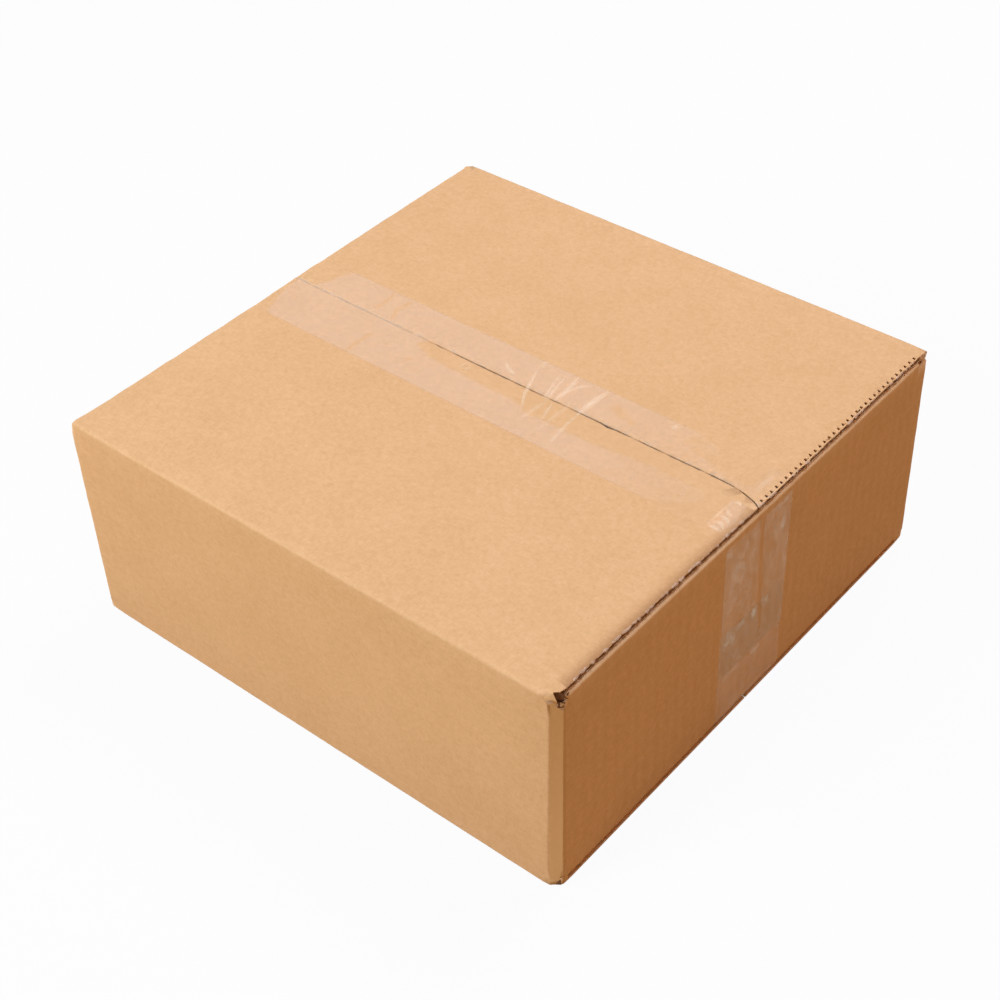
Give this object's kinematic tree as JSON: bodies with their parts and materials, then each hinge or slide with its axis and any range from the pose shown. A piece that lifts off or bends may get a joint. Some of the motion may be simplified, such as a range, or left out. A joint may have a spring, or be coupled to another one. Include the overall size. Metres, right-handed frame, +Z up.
{
  "type": "closed corrugated cardboard carton",
  "caption": "Low square carton of brown corrugated board, folded shut and sealed with clear tape along its top and bottom seams, to stand, stack or carry.",
  "frame": {"origin": "centre of the footprint, on the surface that the carton stands on", "axes": "+Z up; +X along the taped seam, towards the end where the top seam bends back to the middle; +Y across the seam, towards the wall that laps over the glue tab"},
  "size_m": [0.2506, 0.25, 0.1043],
  "materials": {
    "board": "matte kraft paper",
    "tape": "clear film"
  },
  "bodies": {
    "root": {"carton": "board", "top_tape": "tape", "bottom_tape": "tape"}
  },
  "joints": []
}
